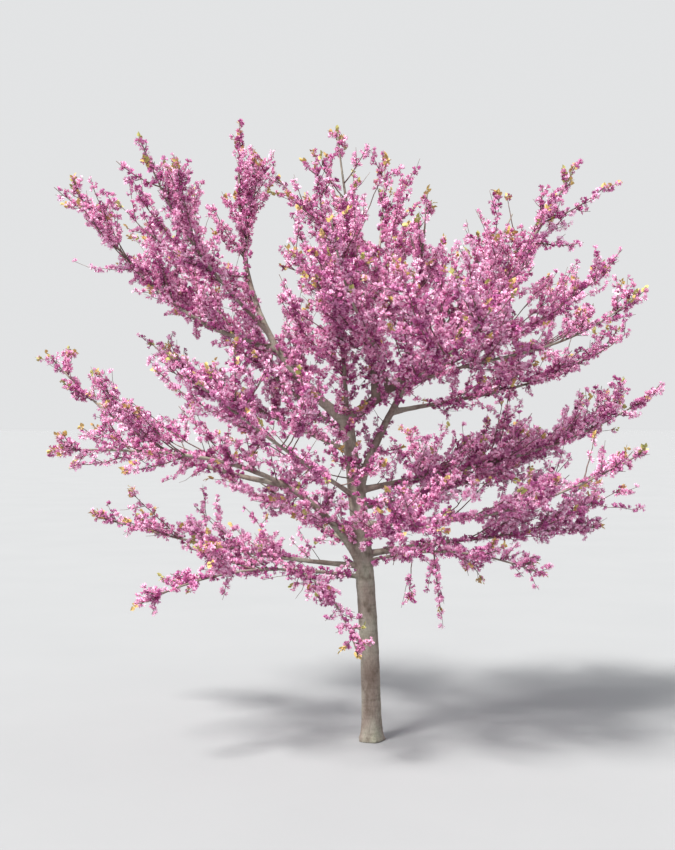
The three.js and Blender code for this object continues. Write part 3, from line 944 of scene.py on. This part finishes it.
def clusters(shoots):
    """Points, directions, shoot radii, places along their shoots and tints of all clusters of blossom."""
    rows = []
    for shoot in shoots:
        start, end = shoot.bloom
        count = int(path_length(shoot.path) * (end - start) / NODE_SPACING)
        if count < 1:
            continue
        places = (np.arange(count) + rng.uniform(*NODE_PLACE, count)) / count
        places = places[rng.random(count) > lerp(*EMPTY_SHARE, places)]
        points, directions = walk(shoot.path, lerp(start, end, places))
        clear = openness(points) > rng.uniform(*OPENING_EDGE, len(points))
        places = places[clear]
        shares = lerp(start, end, places)
        radii = np.interp(shares, np.linspace(0, 1, len(shoot.radii)), shoot.radii)
        rows.append((points[clear], directions[clear], radii, places, cluster_tints(shoot, places)))
    return [np.concatenate(column) for column in zip(*rows)]


def flowers(shoots):
    """Frames, bases, roots, lengths and tints of all flowers."""
    points, directions, radii, places, tints = clusters(shoots)
    outward = unit(np.cross(directions, rng.normal(size=directions.shape)))
    tilt = np.radians(rng.uniform(*CLUSTER_TILT, len(points)))[:, None]
    facing = directions * np.cos(tilt) + outward * np.sin(tilt)
    counts = rng.integers(*FLOWERS, len(points), endpoint=True)
    columns = points, facing, radii, places, tints
    points, facing, radii, places, tints = (np.repeat(column, counts, axis=0) for column in columns)
    total = len(points)
    sizes = lerp(1, TIP_SIZE, places)
    z = unit(facing + CLUSTER_SPREAD * unit(rng.normal(size=(total, 3))))
    x = unit(UP + FLOWER_ROLL * rng.normal(size=(total, 3)))
    x = unit(x - z * (x * z).sum(1, keepdims=True))
    frames = np.stack((x, np.cross(z, x), z), axis=1)
    roots = points + facing * (radii * PEDICEL_ROOT)[:, None]
    bases = roots + z * (rng.uniform(*PEDICEL, total) * sizes)[:, None]
    return frames, bases, roots, rng.uniform(*FLOWER_LENGTH, total) * sizes, tints


def build_blossom(shoots):
    """Petals of each tint, painted highlight to painted shade, and hearts: stalk, calyx and keel as one
    folded kite on the shoot.
    """
    frames, bases, roots, lengths, tints = flowers(shoots)
    pieces = []
    for index, tint in enumerate(PETAL_LIGHT_SHADE_TINTS):
        own = tints == index
        petals = placed(PETALS, frames[own], bases[own], lengths[own])
        keels = placed(KEEL, frames[own], bases[own], lengths[own])
        hearts = np.concatenate((roots[own][:, None], keels), axis=1)
        petal_material = mottled_material("petals_" + tint, PETAL_LIGHT_SHADE_TINTS[tint], PETAL_GRAIN, PETAL_ROUGHNESS)
        heart_material = mottled_material("hearts_" + tint, HEART_LIGHT_SHADE_TINTS[tint], PETAL_GRAIN, PETAL_ROUGHNESS)
        pieces.append(mesh_piece("petals_" + tint, *copies(petals, PETAL_TRIANGLES), petal_material))
        pieces.append(mesh_piece("hearts_" + tint, *copies(hearts, QUAD), heart_material))
    return pieces


# Leaves: a leaf's length runs along +Y from its notch, and it folds up along its midrib

# Notch, middle of the midrib, tip, and two points that make the stalk
LEAF_MIDDLE = ((0, 0, 0), (0, 0.5, 0), (0, 1.05, -0.12), (0, -LEAF_STALK, 0.03), (0.03, 0.02, -0.03))
LEAF_HALF = np.array(((0.30, -0.10, 0.05), (0.50, 0.16, 0.13), (0.45, 0.45, 0.13), (0.22, 0.80, 0.04)))
LEAF = np.concatenate((LEAF_MIDDLE, LEAF_HALF, LEAF_HALF * (-1, 1, 1)))
LEAF_TRIANGLES = np.array((
    (0, 5, 6), (0, 6, 1), (1, 6, 7), (1, 7, 8), (1, 8, 2),
    (0, 10, 9), (0, 1, 10), (1, 11, 10), (1, 12, 11), (1, 2, 12),
    (3, 4, 0),
))
LEAF_TINTS = {
    "golden": ((0.52, 0.37, 0.12), (0.66, 0.50, 0.19)),
    "green": ((0.40, 0.38, 0.12), (0.53, 0.50, 0.18)),
    "bronze": ((0.44, 0.27, 0.11), (0.57, 0.38, 0.16)),
}
LEAF_GRAIN = 30
LEAF_ROUGHNESS = 0.5


def leaf_sprays(shoots):
    """Frames, bases, lengths and tints of the leaves at the shoots' tips."""
    rows = []
    for shoot in shoots:
        if rng.random() > SPRAY_SHARE.get(shoot.kind, 0) or openness(shoot.path[-1:])[0] < 1:
            continue
        tip = shoot.path[-1]
        along = unit(tip - shoot.path[-2])
        count = rng.integers(*LEAVES, endpoint=True)
        tint = rng.choice(len(LEAF_SHARES), p=LEAF_SHARES)
        for k in range(count):
            y = unit(along + LEAF_SPREAD * unit(rng.normal(size=3)))
            z = unit(UP + LEAF_ROLL * rng.normal(size=3))
            z = unit(z - y * (y @ z))
            length = rng.uniform(*LEAF_LENGTH)
            base = tip - along * LEAF_STEP * k + y * length * LEAF_STALK
            rows.append((np.stack((np.cross(y, z), y, z)), base, length, tint))
    return [np.array(column) for column in zip(*rows)]


def build_leaves(shoots):
    """Leaves of each tint."""
    frames, bases, lengths, tints = leaf_sprays(shoots)
    pieces = []
    for index, tint in enumerate(LEAF_TINTS):
        own = tints == index
        leaves = placed(LEAF, frames[own], bases[own], lengths[own])
        material = mottled_material("leaves_" + tint, LEAF_TINTS[tint], LEAF_GRAIN, LEAF_ROUGHNESS)
        pieces.append(mesh_piece("leaves_" + tint, *copies(leaves, LEAF_TRIANGLES), material, True))
    return pieces


# Stage: floor, light and camera

FLOOR_RADIUS = 400
FLOOR_SIDES = 96
FLOOR_TINTS = ((0.314, 0.3235, 0.3375), (0.322, 0.331, 0.345))
FLOOR_GRAIN = 0.8
FLOOR_ROUGHNESS = 0.9
SKY = {"Color": (0.98, 0.99, 1.0, 1), "Strength": 0.78}
KEY = {"bearing": 226, "rise": 56, "softness": 14, "strength": 6.2, "colour": (1.0, 0.97, 0.92)}


def build_floor():
    angles = circle(FLOOR_SIDES)
    rim = FLOOR_RADIUS * np.stack((np.cos(angles), np.sin(angles), 0 * angles), axis=1)
    points = np.concatenate((np.zeros((1, 3)), rim))
    k = np.arange(FLOOR_SIDES)
    triangles = np.stack((0 * k, 1 + k, 1 + (k + 1) % FLOOR_SIDES), axis=1)
    material = mottled_material("floor", FLOOR_TINTS, FLOOR_GRAIN, FLOOR_ROUGHNESS)
    mesh_piece("floor", points, triangles, material)


def build_sky():
    world = bpy.data.worlds.new("studio")
    bpy.context.scene.world = world
    world.use_nodes = True
    background = world.node_tree.nodes["Background"]
    for key, value in SKY.items():
        background.inputs[key].default_value = value


def build_sun():
    light = bpy.data.lights.new("key", "SUN")
    light.angle = math.radians(KEY["softness"])
    light.energy = KEY["strength"]
    light.color = KEY["colour"]
    lamp = bpy.data.objects.new("key", light)
    shines = Vector(-heading(KEY["bearing"], KEY["rise"]))
    lamp.rotation_euler = shines.to_track_quat("-Z", "Y").to_euler()
    bpy.context.scene.collection.objects.link(lamp)


def build_camera():
    camera = bpy.data.cameras.new("camera")
    camera.sensor_width = SENSOR
    camera.lens = SENSOR * FOCAL_PIXELS / IMAGE_HEIGHT
    camera.clip_end = CLIP_END
    holder = bpy.data.objects.new("camera", camera)
    holder.location = CAMERA
    holder.rotation_euler = (math.pi / 2, 0, 0)
    bpy.context.scene.collection.objects.link(holder)
    bpy.context.scene.camera = holder


bpy.context.scene.view_settings.view_transform = "Standard"
build_floor()
build_sky()
build_camera()
build_sun()

shoots = grow()
wood = bark_material()
bark = build_bark(wood)
stems = build_stems(wood)
twigs = build_twigs(shoots)
blossom = build_blossom(shoots)
leaves = build_leaves(shoots)

limb_nodes = ["trunk"] + [bough.name + "_bough" for bough in BOUGHS]
mass_nodes = [bough.name + "_blossom" for bough in BOUGHS]
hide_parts(*limb_nodes)
for piece in (stems, twigs):
    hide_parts(*mass_nodes)
for piece in blossom + leaves:
    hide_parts(*mass_nodes)
for piece in [bark, stems, twigs] + blossom + leaves:
    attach(piece, "root")
